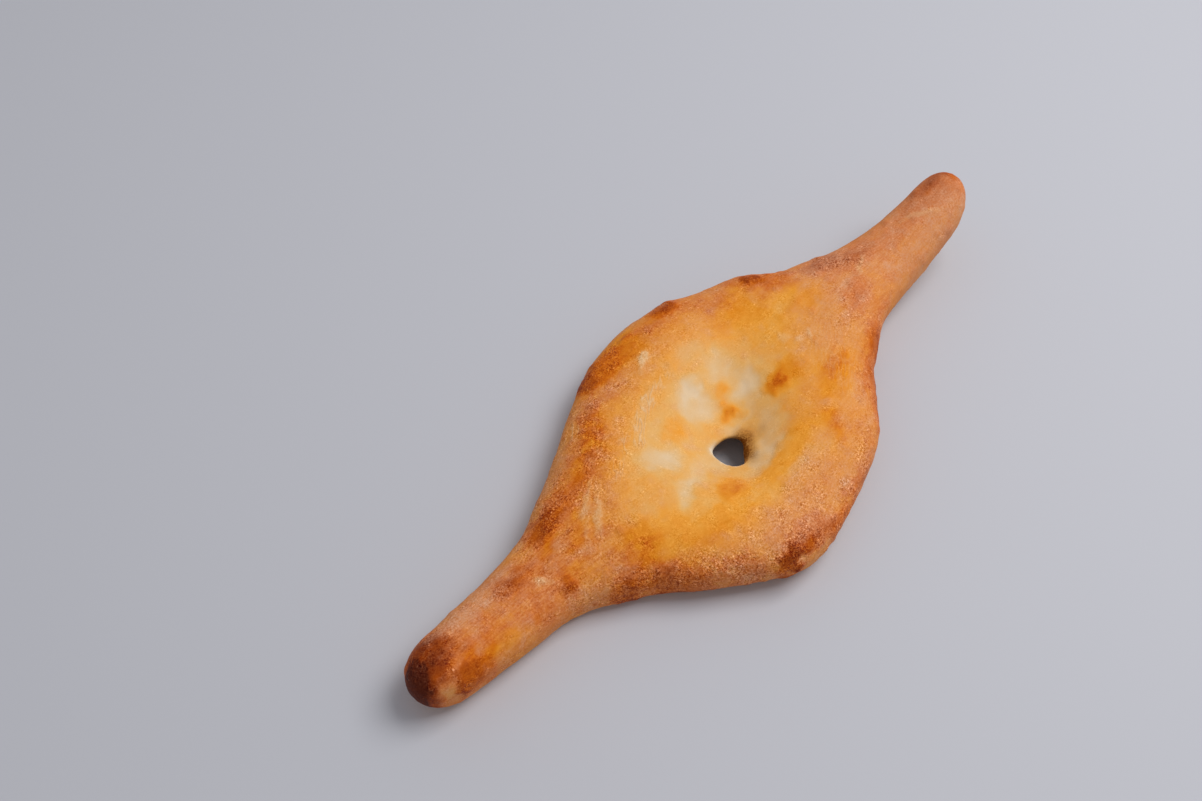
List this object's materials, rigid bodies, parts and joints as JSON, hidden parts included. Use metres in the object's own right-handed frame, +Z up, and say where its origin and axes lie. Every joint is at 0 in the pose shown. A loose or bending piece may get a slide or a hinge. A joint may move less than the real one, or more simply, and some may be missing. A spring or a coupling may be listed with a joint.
{
  "type": "shoti bread",
  "caption": "Canoe-shaped flat loaf with a thin, dished middle, a vent hole right through it and a thick rounded tail at each end; baked golden, with browned edges.",
  "frame": {"origin": "middle of the loaf's box, at the height of the flat underside that it rests on", "axes": "+X along the loaf towards the raised tail, +Y across it, +Z up out of the dished top"},
  "size_m": [0.358, 0.14, 0.0436],
  "materials": {
    "crust": "dry, matte, finely speckled baked crust: cream in the dish, golden round it, tan at the rim and brown at the edges and tips"
  },
  "bodies": {
    "root": {"loaf": "crust"}
  },
  "joints": []
}
